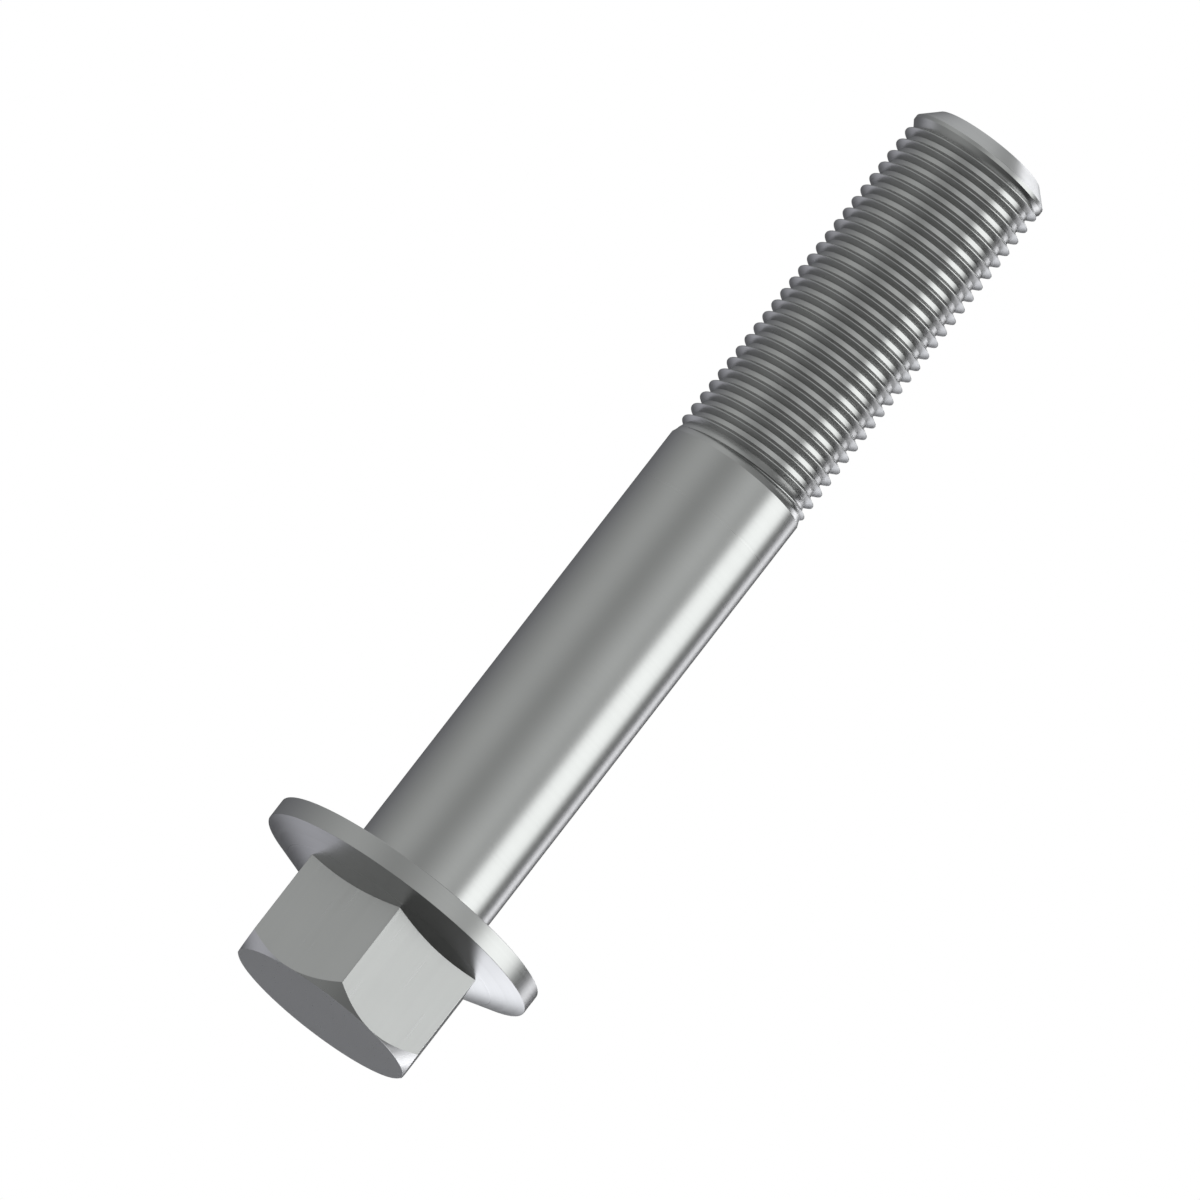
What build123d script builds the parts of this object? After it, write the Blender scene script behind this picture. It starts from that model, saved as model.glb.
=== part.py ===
from build123d import *
import os
from math import cos, radians, tan

# Hexagon flange bolt, M16 x 1.5 fine thread, forged and turned from one piece of steel.
# Millimetres. The origin is the centre of the bearing face under the flange, +Z runs up the shank to the tip.

# Shank
shank_diameter = 16.0
length_under_head = 97.5
tip_chamfer = 1.64
underhead_fillet = 0.8

# Flange
flange_diameter = 32.5
flange_rim = 2.2
flange_slope = 20.0  # degrees between the flange's cone and its bearing face

# Wrench hexagon
across_flats = 20.9
head_height = 15.04
end_face_diameter = 20.84
head_chamfer_slope = 44.0  # degrees between the chamfer's cone and the end face

# Sizes that follow from these
shank_radius = shank_diameter / 2
flange_radius = flange_diameter / 2
end_face_radius = end_face_diameter / 2
hex_corner_radius = across_flats / 2 / cos(radians(30))


def turned(*outline):
    """A solid of revolution about Z from an outline of (radius, height) points."""
    points = [(radius, 0, height) for radius, height in outline]
    return revolve(make_face(Polyline(*points, close=True)), Axis.Z)


def wrench_hexagon():
    """The hexagon, two corners on the Y axis, with its corners turned off by a cone at the end face."""
    prism = extrude(RegularPolygon(hex_corner_radius, 6, rotation=30), -head_height)
    cone_height = (flange_radius - end_face_radius) * tan(radians(head_chamfer_slope))
    turned_blank = turned(
        (0, 0),
        (flange_radius, 0),
        (flange_radius, cone_height - head_height),
        (end_face_radius, -head_height),
        (0, -head_height),
    )
    return prism & turned_blank


def flange():
    """The bearing face, the rim, and the cone that slopes down into the hexagon."""
    cone_height = flange_radius * tan(radians(flange_slope))
    return turned(
        (0, 0),
        (flange_radius, 0),
        (flange_radius, -flange_rim),
        (0, -flange_rim - cone_height),
    )


def shank():
    """The round shank and its chamfered point, begun inside the flange so that the two become one."""
    return turned(
        (0, -flange_rim),
        (shank_radius, -flange_rim),
        (shank_radius, length_under_head - tip_chamfer),
        (shank_radius - tip_chamfer, length_under_head),
        (0, length_under_head),
    )


def flange_bolt():
    bolt = wrench_hexagon() + flange() + shank()
    circles = bolt.edges().filter_by(GeomType.CIRCLE).filter_by_position(Axis.Z, 0, 0)
    underhead_corner = circles.sort_by(SortBy.RADIUS)[0]
    return fillet(underhead_corner, underhead_fillet)


os.makedirs("parts", exist_ok=True)
bolt = flange_bolt()
bolt.label = "flange_bolt"
export_step(bolt, "parts/flange_bolt.step")
print("volume", round(bolt.volume), "mm3")
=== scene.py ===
from math import cos, pi, radians, sin, tan

import bmesh
import bpy
from mathutils import Euler, Matrix, Vector


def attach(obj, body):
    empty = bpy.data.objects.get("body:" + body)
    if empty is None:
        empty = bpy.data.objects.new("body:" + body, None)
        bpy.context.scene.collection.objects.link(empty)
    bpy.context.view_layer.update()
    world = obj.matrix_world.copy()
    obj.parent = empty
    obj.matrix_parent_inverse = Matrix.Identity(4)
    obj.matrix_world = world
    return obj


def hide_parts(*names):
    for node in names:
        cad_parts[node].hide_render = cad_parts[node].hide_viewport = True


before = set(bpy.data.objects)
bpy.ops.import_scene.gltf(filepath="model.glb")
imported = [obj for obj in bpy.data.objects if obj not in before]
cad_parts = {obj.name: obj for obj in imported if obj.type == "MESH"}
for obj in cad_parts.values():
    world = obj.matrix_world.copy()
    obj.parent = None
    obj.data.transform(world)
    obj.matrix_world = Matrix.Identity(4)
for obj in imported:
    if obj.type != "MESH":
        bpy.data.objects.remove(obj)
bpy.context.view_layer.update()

# Hexagon flange bolt, M16 x 1.5. Sizes in the dictionaries are millimetres and degrees, Blender
# works in metres. The bearing face lies at height 0, the head goes down from it and the shank up.

bolt = {
    "facets": 128,               # round the axis
    "shankRadius": 8.0,
    "length": 97.5,
    "tipChamfer": 1.64,
    "underheadFillet": 0.8,
    "flangeRadius": 16.25,
    "flangeRim": 2.2,
    "flangeSlope": 20.0,
    "acrossFlats": 20.9,
    "headHeight": 15.04,
    "endFaceRadius": 10.42,
    "headChamferSlope": 44.0,
    "edgeRounding": 0.06,        # the die and the tumbling drum leave no edge quite sharp
    "hexCornerRounding": 0.06,
    "hexCornerSteps": 6,
    "roundingStep": 10,          # degrees from point to point in the other roundings
    "fewestSteps": 3,
    "ringBelowThread": 0.5,      # from the end of the smooth shank down to a ring of vertices
    "ringRoundHexagon": 0.2,     # from the hexagon's corners out to a ring on the flange's cone
    "overlap": 1.0,              # how far a cutting solid goes on past the face that it cuts
    "mergeDistance": 0.002,
    "smoothBelow": 12.0,         # degrees between faces that are shaded as one
}

thread = {
    "pitch": 1.5,
    "crestFlat": 0.08,
    "rootRadius": 7.2,
    "flankAngle": 30.0,
    "frontRoot": 95.15,          # height of a root on the -Y side, which the camera sees
    "shankEnd": 54.6,            # the smooth shank ends here, in a shallow cone
    "coneEnd": (7.72, 55.3),     # radius and height
    "runOut": (54.7, 56.7),      # the roots go down to full depth between these heights
    "tipRunOut": (94.25, 95.45), # and come up again here, so that the point's chamfer stays whole
    "outsideShank": 0.05,        # the cutter goes on past the shank, but its turns may not meet
    "spareTurns": 2,             # of the cutter at each end, taken away again by the run-outs
    "clearedBeyond": 8,          # the length over which they are taken away
}


def mm(length):
    return length / 1000


def nothingSelected():
    if bpy.context.mode != "OBJECT":
        bpy.ops.object.mode_set(mode="OBJECT")
    bpy.ops.object.select_all(action="DESELECT")


# draws a line through (radius, height) points in the XZ plane: a small plane is merged to one
# vertex, and that is extruded from point to point
def drawOutline(name, points):
    nothingSelected()
    bpy.ops.mesh.primitive_plane_add(size=mm(1), location=(0, 0, 0))
    outline = bpy.context.object
    outline.name = name
    bpy.ops.object.mode_set(mode="EDIT")
    bpy.ops.mesh.select_all(action="SELECT")
    bpy.ops.mesh.merge(type="CENTER")
    bpy.ops.transform.translate(value=(mm(points[0][0]), 0, mm(points[0][1])))
    for (fromRadius, fromHeight), (toRadius, toHeight) in zip(points, points[1:]):
        step = (mm(toRadius - fromRadius), 0, mm(toHeight - fromHeight))
        bpy.ops.mesh.extrude_vertices_move(TRANSFORM_OT_translate={"value": step})
    return outline


# merges the poles and seams of the piece in edit mode and turns its faces outwards
def closeUp():
    bpy.ops.mesh.select_all(action="SELECT")
    bpy.ops.mesh.remove_doubles(threshold=mm(bolt["mergeDistance"]))
    bpy.ops.mesh.normals_make_consistent(inside=False)
    bpy.ops.object.mode_set(mode="OBJECT")


# turns an outline that begins and ends on the axis into a round solid
def turnOnLathe(name, points):
    piece = drawOutline(name, points)
    bpy.ops.mesh.select_all(action="SELECT")
    bpy.ops.mesh.spin(steps=bolt["facets"], angle=2 * pi, center=(0, 0, 0), axis=(0, 0, 1))
    closeUp()
    return piece


# the points of a small rounding in an outline, between two directions of the surface's normal
def roundedCorner(radius, height, rounding, fromNormal, toNormal, outward=1):
    turn = radians(toNormal - fromNormal)
    reach = rounding / cos(turn / 2)
    middle = radians((fromNormal + toNormal) / 2)
    centreRadius = radius - outward * reach * cos(middle)
    centreHeight = height - outward * reach * sin(middle)
    steps = max(bolt["fewestSteps"], round(abs(toNormal - fromNormal) / bolt["roundingStep"]))
    points = []
    for i in range(steps + 1):
        angle = radians(fromNormal) + turn * i / steps
        points.append((centreRadius + outward * rounding * cos(angle),
                       centreHeight + outward * rounding * sin(angle)))
    return points


def hexCornerRadius():
    return bolt["acrossFlats"] / 2 / cos(radians(30))


def combine(piece, other, operation):
    nothingSelected()
    bpy.context.view_layer.objects.active = piece
    modifier = piece.modifiers.new("Combine", "BOOLEAN")
    modifier.operation = operation
    modifier.solver = "EXACT"
    modifier.object = other
    bpy.ops.object.modifier_apply(modifier=modifier.name)
    bpy.data.objects.remove(other, do_unlink=True)


# point, shank, bearing face, rim and cone in one turned outline, from the tip down into the head
def turnShankAndFlange():
    shankRadius, flangeRadius = bolt["shankRadius"], bolt["flangeRadius"]
    tip, chamfer, rounding = bolt["length"], bolt["tipChamfer"], bolt["edgeRounding"]
    rim, slope = bolt["flangeRim"], bolt["flangeSlope"]
    outline = [(0, tip)]
    outline += roundedCorner(shankRadius - chamfer, tip, rounding, 90, 45)
    coneRadius, coneHeight = thread["coneEnd"]
    firstFlank = (shankRadius - coneRadius) * tan(radians(thread["flankAngle"]))
    outline += [(shankRadius, tip - chamfer), (shankRadius, coneHeight + firstFlank)]
    outline += [thread["coneEnd"], (shankRadius, thread["shankEnd"])]
    # a ring below the thread and one round the hexagon keep the long faces beyond them whole, so
    # that they shade evenly
    outline += [(shankRadius, thread["shankEnd"] - bolt["ringBelowThread"])]
    outline += roundedCorner(shankRadius, 0, bolt["underheadFillet"], 0, 90, outward=-1)
    outline += roundedCorner(flangeRadius, 0, rounding, 90, 0)
    outline += roundedCorner(flangeRadius, -rim, rounding, 0, slope - 90)
    coneFoot = hexCornerRadius() + bolt["ringRoundHexagon"]
    outline += [(coneFoot, -rim - (flangeRadius - coneFoot) * tan(radians(slope)))]
    outline += [(0, -rim - flangeRadius * tan(radians(slope)))]
    return turnOnLathe("flangeBolt", outline)


# a six-sided prism whose corners are rounded a little, then turned off by a cone at the end face
def forgeHexagon():
    headHeight = bolt["headHeight"]
    nothingSelected()
    bpy.ops.mesh.primitive_cylinder_add(
        vertices=6, radius=mm(hexCornerRadius()), depth=mm(headHeight),
        location=(0, 0, mm(-headHeight / 2)))
    hexagon = bpy.context.object
    bpy.ops.object.mode_set(mode="EDIT")
    bpy.ops.mesh.select_mode(type="EDGE")
    bpy.ops.mesh.select_all(action="DESELECT")
    mesh = bmesh.from_edit_mesh(hexagon.data)
    for edge in mesh.edges:
        # the six upright edges
        if abs(edge.verts[0].co.z - edge.verts[1].co.z) > mm(headHeight / 2):
            edge.select_set(True)
    bmesh.update_edit_mesh(hexagon.data)
    bpy.ops.mesh.bevel(offset=mm(bolt["hexCornerRounding"]), offset_type="OFFSET",
                       segments=bolt["hexCornerSteps"], affect="EDGES")
    bpy.ops.mesh.select_mode(type="VERT")
    closeUp()
    nothingSelected()
    hexagon.select_set(True)
    bpy.context.view_layer.objects.active = hexagon
    bpy.ops.object.transform_apply(location=True, rotation=True, scale=True)

    endRadius, slope = bolt["endFaceRadius"], bolt["headChamferSlope"]
    coneRadius, coneTop = bolt["flangeRadius"], bolt["overlap"]
    coneHeight = (coneRadius - endRadius) * tan(radians(slope))
    outline = [(0, coneTop), (coneRadius, coneTop), (coneRadius, -headHeight + coneHeight)]
    outline += roundedCorner(endRadius, -headHeight, bolt["edgeRounding"], slope - 90, -90)
    outline += [(0, -headHeight)]
    combine(hexagon, turnOnLathe("endCone", outline), "INTERSECT")
    return hexagon


# the outline of the groove, swept up the shank as a right-hand helix, and run out at both ends
def threadCutter():
    pitch, slant = thread["pitch"], tan(radians(thread["flankAngle"]))
    shankRadius, root = bolt["shankRadius"], thread["rootRadius"]
    halfMouth = (pitch - thread["crestFlat"]) / 2
    halfRoot = halfMouth - (shankRadius - root) * slant
    outside = shankRadius + thread["outsideShank"]
    halfOutside = halfMouth + thread["outsideShank"] * slant
    # the sweep starts on the +X side, three quarters of a turn before the front
    start = thread["frontRoot"] - 0.75 * pitch
    start -= pitch * int((start - thread["shankEnd"]) / pitch + thread["spareTurns"])
    turns = int((bolt["length"] - start) / pitch) + thread["spareTurns"]
    print("root flat", round(2 * halfRoot, 3), "mm,", turns, "turns")
    groove = [(root, start + halfRoot), (outside, start + halfOutside),
              (outside, start - halfOutside), (root, start - halfRoot), (root, start + halfRoot)]
    cutter = drawOutline("threadCutter", groove)
    bpy.ops.mesh.select_all(action="SELECT")
    bpy.ops.mesh.remove_doubles(threshold=mm(bolt["mergeDistance"]))
    bpy.ops.object.mode_set(mode="OBJECT")
    sweep = cutter.modifiers.new("Sweep", "SCREW")
    sweep.axis = "Z"
    sweep.angle = 2 * pi
    sweep.screw_offset = mm(pitch)
    sweep.iterations = turns
    sweep.steps = sweep.render_steps = bolt["facets"]
    bpy.ops.object.modifier_apply(modifier=sweep.name)
    bpy.ops.object.mode_set(mode="EDIT")
    bpy.ops.mesh.select_all(action="SELECT")
    bpy.ops.mesh.fill_holes(sides=0)
    # half a facet round, so that no edge of the groove lies on an edge of the shank
    bpy.ops.transform.rotate(
        value=pi / bolt["facets"], orient_axis="Z", center_override=(0, 0, 0))
    closeUp()

    # a run-out takes the cutter's end away up to a cone, which goes on past the shank and the root
    depth = shankRadius - root
    (low, lowFull), (highFull, high) = thread["runOut"], thread["tipRunOut"]
    for name, edge, full in (("runOut", low, lowFull), ("tipRunOut", high, highFull)):
        inwards = 1 if full > edge else -1
        run = abs(full - edge)
        beyond = edge - inwards * thread["clearedBeyond"]
        cleared = [(0, beyond), (shankRadius + depth, beyond),
                   (shankRadius + depth, edge - inwards * run),
                   (root - depth, full + inwards * run), (0, full + inwards * run)]
        combine(cutter, turnOnLathe(name, cleared), "DIFFERENCE")
    return cutter


flangeBolt = turnShankAndFlange()
combine(flangeBolt, forgeHexagon(), "UNION")
print("head and shank", len(flangeBolt.data.polygons), "faces")
combine(flangeBolt, threadCutter(), "DIFFERENCE")
nothingSelected()
flangeBolt.select_set(True)
bpy.context.view_layer.objects.active = flangeBolt
bpy.ops.object.mode_set(mode="EDIT")
closeUp()
bpy.ops.object.shade_smooth_by_angle(angle=radians(bolt["smoothBelow"]))
# the flat faces stay flat up to their small edge roundings
weighted = flangeBolt.modifiers.new("FlatFaces", "WEIGHTED_NORMAL")
weighted.keep_sharp = True
bpy.ops.object.modifier_apply(modifier=weighted.name)
print("with the thread", len(flangeBolt.data.polygons), "faces")
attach(flangeBolt, "root")
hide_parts("flange_bolt")


# sRGB hex to linear, as (red, green, blue, 1)
def linearColour(hexColour):
    channels = [int(hexColour[i:i + 2], 16) / 255 for i in (1, 3, 5)]
    return [c / 12.92 if c <= 0.04045 else ((c + 0.055) / 1.055) ** 2.4 for c in channels] + [1]


# adds a node, sets or links its inputs, and gives back its first output
def addNode(tree, kind, links, **settings):
    node = tree.nodes.new(kind)
    for name, value in settings.items():
        setattr(node, name, value)
    for socket, source in links.items():
        if isinstance(source, bpy.types.NodeSocket):
            tree.links.new(source, node.inputs[socket])
        else:
            node.inputs[socket].default_value = source
    return node.outputs[0] if node.outputs else node


steel = {
    "colour": "#B3B3B3",
    "clouding": 0.02,            # how much lighter and darker the colour gets, in soft clouds
    "cloudSize": 9.0,
    "roughness": 0.30,
    "roughnessSpread": 0.035,
    "turningMark": 0.25,         # feed marks, drawn wider than the real 0.1 mm so that they show
    "turnedDownTo": 5.0,         # the flange's cone ends above this depth
    "belowRim": 0.2,             # and the hexagon's flats begin this far below the rim
    "forgedLean": 0.1,           # how far a forged side's normal may lean out of level, as a sine
    "drawMark": 0.3,             # the trimming die's streaks along the flats, drawn wider too
    "drawLength": 15.0,
    "markDepth": 0.0002,
    "markDetail": 2,
    "grain": 0.35,               # blasting and tumbling grain, drawn wider than its real 0.05 mm
    "grainDepth": 0.0003,
    "grainDetail": 3,
    "markRange": (0.25, 0.75),   # the noise values that give the least and the most roughness
    "cloudRange": (0.3, 0.7),    # and the darkest and lightest colour
}


# alloy steel, cold forged, with the flange and shank turned and the thread rolled: a satin, even,
# neutral metal, with faint rings round the axis, faint streaks along the hexagon's flats and a
# very fine grain all over
def brightForgedSteel():
    material = bpy.data.materials.new("brightForgedSteel")
    material.use_nodes = True
    tree = material.node_tree
    shader = tree.nodes["Principled BSDF"]
    place = tree.nodes.new("ShaderNodeTexCoord").outputs["Object"]
    x, y, height = addNode(tree, "ShaderNodeSeparateXYZ", {0: place}).node.outputs
    flat = addNode(tree, "ShaderNodeCombineXYZ", {0: x, 1: y, 2: 0})
    length = addNode(tree, "ShaderNodeVectorMath", {0: flat}, operation="LENGTH")
    radius = length.node.outputs["Value"]

    # rings: the noise is read at (radius, height), so that it is the same all the way round
    profile = addNode(tree, "ShaderNodeCombineXYZ", {0: radius, 1: height, 2: 0})
    rings = addNode(tree, "ShaderNodeTexNoise", {
        "Vector": profile, "Scale": 1 / mm(steel["turningMark"]), "Detail": steel["markDetail"]})
    # streaks: stretched along the axis
    stretch = steel["drawMark"] / steel["drawLength"]
    squeezed = addNode(tree, "ShaderNodeMath", {0: height, 1: stretch}, operation="MULTIPLY")
    drawn = addNode(tree, "ShaderNodeCombineXYZ", {0: x, 1: y, 2: squeezed})
    streaks = addNode(tree, "ShaderNodeTexNoise", {
        "Vector": drawn, "Scale": 1 / mm(steel["drawMark"]), "Detail": steel["markDetail"]})
    # the hexagon and the end face are as forged: below the rim, what stands upright or lies low
    normal = tree.nodes.new("ShaderNodeNewGeometry").outputs["True Normal"]
    facing = addNode(tree, "ShaderNodeSeparateXYZ", {0: normal}).node.outputs
    lean = addNode(tree, "ShaderNodeMath", {0: facing[2]}, operation="ABSOLUTE")
    upright = addNode(tree, "ShaderNodeMath", {
        0: lean, 1: steel["forgedLean"]}, operation="LESS_THAN")
    low = addNode(tree, "ShaderNodeMath", {
        0: height, 1: mm(-steel["turnedDownTo"])}, operation="LESS_THAN")
    belowRim = addNode(tree, "ShaderNodeMath", {
        0: height, 1: mm(-bolt["flangeRim"] - steel["belowRim"])}, operation="LESS_THAN")
    either = addNode(tree, "ShaderNodeMath", {0: upright, 1: low}, operation="MAXIMUM")
    forged = addNode(tree, "ShaderNodeMath", {0: either, 1: belowRim}, operation="MULTIPLY")
    marks = addNode(tree, "ShaderNodeMix", {0: forged, 2: rings, 3: streaks}, data_type="FLOAT")

    grain = addNode(tree, "ShaderNodeTexNoise", {
        "Vector": place, "Scale": 1 / mm(steel["grain"]), "Detail": steel["grainDetail"]})
    clouds = addNode(tree, "ShaderNodeTexNoise", {
        "Vector": place, "Scale": 1 / mm(steel["cloudSize"]), "Detail": steel["markDetail"]})
    tone = addNode(tree, "ShaderNodeMapRange", {
        0: clouds, 1: steel["cloudRange"][0], 2: steel["cloudRange"][1],
        3: 1 - steel["clouding"], 4: 1 + steel["clouding"]})
    colour = addNode(tree, "ShaderNodeVectorMath", {
        0: linearColour(steel["colour"])[:3], 3: tone}, operation="SCALE")
    tree.links.new(colour, shader.inputs["Base Color"])
    roughness = addNode(tree, "ShaderNodeMapRange", {
        0: marks, 1: steel["markRange"][0], 2: steel["markRange"][1],
        3: steel["roughness"] - steel["roughnessSpread"],
        4: steel["roughness"] + steel["roughnessSpread"]})
    tree.links.new(roughness, shader.inputs["Roughness"])
    marked = addNode(tree, "ShaderNodeBump", {
        "Strength": 1, "Distance": mm(steel["markDepth"]), "Height": marks})
    grained = addNode(tree, "ShaderNodeBump", {
        "Strength": 1, "Distance": mm(steel["grainDepth"]), "Height": grain, "Normal": marked})
    tree.links.new(grained, shader.inputs["Normal"])
    shader.inputs["Metallic"].default_value = 1
    return material


flangeBolt.data.materials.clear()
flangeBolt.data.materials.append(brightForgedSteel())
print("steel done")

# soft panels all round the bolt: where each one's middle is (degrees to the right of the front,
# degrees up), its half width and half height, how far its edges fade each way, its strength and
# its colour
studio = {
    "ceiling": {
        "middle": (0, 90), "half": (300, 39), "fade": (50, 43),
        "strength": 0.54, "colour": "#FCFFFD"},
    "ground": {
        "middle": (0, -90), "half": (300, 35), "fade": (50, 34),
        "strength": 0.28, "colour": "#FCFFFD"},
    "front": {
        "middle": (26.5, 6.5), "half": (26, 29), "fade": (30, 21),
        "strength": 0.89, "colour": "#FCFFFD"},
    "left": {
        "middle": (-59.5, 5), "half": (43.5, 57.5), "fade": (45, 53),
        "strength": 0.67, "colour": "#FCFFFD"},
    "leftBack": {
        "middle": (-137, 14.5), "half": (31.5, 33), "fade": (29, 30.5),
        "strength": 0.235, "colour": "#F7F9FF"},
    "softbox": {
        "middle": (82, 5), "half": (22.5, 20), "fade": (6.5, 4),
        "strength": 2.2, "colour": "#FCFFFD"},
    "rightBackStrip": {
        "middle": (139.4, 0), "half": (9, 57.5), "fade": (2, 3.5),
        "strength": 1.89, "colour": "#FBFCFF"},
    "lowBackLeft": {
        "middle": (-142.2, -36.5), "half": (31.7, 15.5), "fade": (6.5, 10.5),
        "strength": 0.71, "colour": "#F5F6FF"},
    "highBackLeft": {
        "middle": (-160, 63.5), "half": (41.5, 24.5), "fade": (19, 22.5),
        "strength": 0.45, "colour": "#FAFCFF"},
    "lowRight": {
        "middle": (146, -30), "half": (6.5, 17), "fade": (5.5, 3.5),
        "strength": 1.66, "colour": "#FBFCFF"},
    "lowBackRight": {
        "middle": (168.2, -32), "half": (9.6, 17.5), "fade": (5, 6.5),
        "strength": 2.1, "colour": "#F8FAFF"},
    "highBackRight": {
        "middle": (158.5, 39.5), "half": (6, 18), "fade": (32.5, 4),
        "strength": 2.4, "colour": "#FBFCFF"},
}


def lightStudio():
    world = bpy.data.worlds.new("studio")
    bpy.context.scene.world = world
    world.use_nodes = True
    tree = world.node_tree
    tree.nodes.clear()
    split = tree.nodes.new("ShaderNodeSeparateXYZ")
    direction = tree.nodes.new("ShaderNodeTexCoord").outputs["Generated"]
    tree.links.new(direction, split.inputs[0])
    rightwards, backwards, upwards = split.outputs
    forwards = addNode(tree, "ShaderNodeMath", {0: backwards, 1: -1}, operation="MULTIPLY")
    azimuth = addNode(tree, "ShaderNodeMath", {0: rightwards, 1: forwards}, operation="ARCTAN2")
    elevation = addNode(tree, "ShaderNodeMath", {0: upwards}, operation="ARCSINE")
    light = (0, 0, 0)
    for panel in studio.values():
        middle, half, fade = [[radians(angle) for angle in panel[key]]
                              for key in ("middle", "half", "fade")]
        aside = addNode(tree, "ShaderNodeMath", {0: azimuth, 1: middle[0]}, operation="SUBTRACT")
        around = addNode(tree, "ShaderNodeMath", {0: aside, 1: pi, 2: -pi}, operation="WRAP")
        above = addNode(tree, "ShaderNodeMath", {
            0: elevation, 1: middle[1]}, operation="SUBTRACT")
        glow = panel["strength"]
        for i, offset in enumerate((around, above)):
            distance = addNode(tree, "ShaderNodeMath", {0: offset}, operation="ABSOLUTE")
            inside = addNode(tree, "ShaderNodeMapRange", {
                0: distance, 1: half[i] + fade[i], 2: half[i] - fade[i], 3: 0, 4: 1},
                interpolation_type="SMOOTHSTEP")
            glow = addNode(tree, "ShaderNodeMath", {0: inside, 1: glow}, operation="MULTIPLY")
        colour = linearColour(panel["colour"])[:3]
        lit = addNode(tree, "ShaderNodeVectorMath", {0: colour, 3: glow}, operation="SCALE")
        light = addNode(tree, "ShaderNodeVectorMath", {0: light, 1: lit}, operation="ADD")
    # the bolt is lit by the panels and mirrors them, and the camera sees plain white behind it
    seen = tree.nodes.new("ShaderNodeLightPath").outputs["Is Camera Ray"]
    panels = addNode(tree, "ShaderNodeBackground", {0: light, 1: 1})
    white = addNode(tree, "ShaderNodeBackground", {0: (1, 1, 1, 1), 1: 1})
    chosen = addNode(tree, "ShaderNodeMixShader", {0: seen, 1: panels, 2: white})
    addNode(tree, "ShaderNodeOutputWorld", {0: chosen})


lightStudio()
print("studio lit")

floor = {
    "radius": 900,
    "corners": 64,
    "gap": 0.01,                 # between the paper and the head's end face
    "colour": "#F6F2F4",
    "glow": 0.33,                # the studio's light alone would leave the paper grey
    "fade": (200, 600),          # distance from the bolt over which the paper fades into white
}


def layFloor():
    nothingSelected()
    bpy.ops.mesh.primitive_circle_add(
        vertices=floor["corners"], radius=mm(floor["radius"]), fill_type="NGON",
        location=(0, 0, mm(-bolt["headHeight"] - floor["gap"])))
    disc = bpy.context.object
    disc.name = "floor"
    material = bpy.data.materials.new("whiteBackgroundPaper")
    material.use_nodes = True
    tree = material.node_tree
    tree.nodes.clear()
    # the camera looks up from below the paper, so the paper shows only from above, and the bolt
    # doesn't mirror it
    seen = tree.nodes.new("ShaderNodeLightPath").outputs["Is Camera Ray"]
    side = tree.nodes.new("ShaderNodeNewGeometry").outputs
    above = addNode(tree, "ShaderNodeMath", {0: 1, 1: side["Backfacing"]}, operation="SUBTRACT")
    length = addNode(tree, "ShaderNodeVectorMath", {0: side["Position"]}, operation="LENGTH")
    near = addNode(tree, "ShaderNodeMapRange", {
        0: length.node.outputs["Value"],
        1: mm(floor["fade"][0]), 2: mm(floor["fade"][1]), 3: 1, 4: 0},
        interpolation_type="SMOOTHSTEP")
    shown = addNode(tree, "ShaderNodeMath", {0: seen, 1: above}, operation="MULTIPLY")
    shown = addNode(tree, "ShaderNodeMath", {0: shown, 1: near}, operation="MULTIPLY")
    clear = addNode(tree, "ShaderNodeBsdfTransparent", {})
    paper = addNode(tree, "ShaderNodeBsdfDiffuse", {0: linearColour(floor["colour"])})
    glow = addNode(tree, "ShaderNodeEmission", {1: floor["glow"]})
    lit = addNode(tree, "ShaderNodeAddShader", {0: paper, 1: glow})
    mixed = addNode(tree, "ShaderNodeMixShader", {0: shown, 1: clear, 2: lit})
    addNode(tree, "ShaderNodeOutputMaterial", {0: mixed})
    disc.data.materials.append(material)


layFloor()
print("floor laid")

camera = {
    "azimuth": 1.0,              # degrees round from the front, to the right
    "elevation": -11.05,         # from below, so the head's end face shows
    "roll": 37.79,
    "frameWidth": 121.445,
    "aimHeight": 25.807,
    "across": -3.279,            # frame centre from the aim point, before the roll
    "up": 10.328,
    "distance": 400,
    "sees": (10, 5000),          # from this distance to that
}


def placeCamera():
    data = bpy.data.cameras.new("camera")
    data.type = "ORTHO"
    data.ortho_scale = mm(camera["frameWidth"])
    data.clip_start, data.clip_end = mm(camera["sees"][0]), mm(camera["sees"][1])
    eye = bpy.data.objects.new("camera", data)
    bpy.context.scene.collection.objects.link(eye)
    tilt, turn = radians(90 - camera["elevation"]), radians(camera["azimuth"])
    level = Euler((tilt, 0, turn)).to_matrix()
    right, up, back = level.col[0], level.col[1], level.col[2]
    aim = Vector((0, 0, mm(camera["aimHeight"])))
    aside = right * mm(camera["across"]) + up * mm(camera["up"])
    eye.location = aim + aside + back * mm(camera["distance"])
    eye.rotation_euler = (level @ Matrix.Rotation(radians(camera["roll"]), 3, "Z")).to_euler()
    bpy.context.scene.camera = eye


placeCamera()
bpy.context.scene.view_settings.view_transform = "Standard"
print("camera placed")
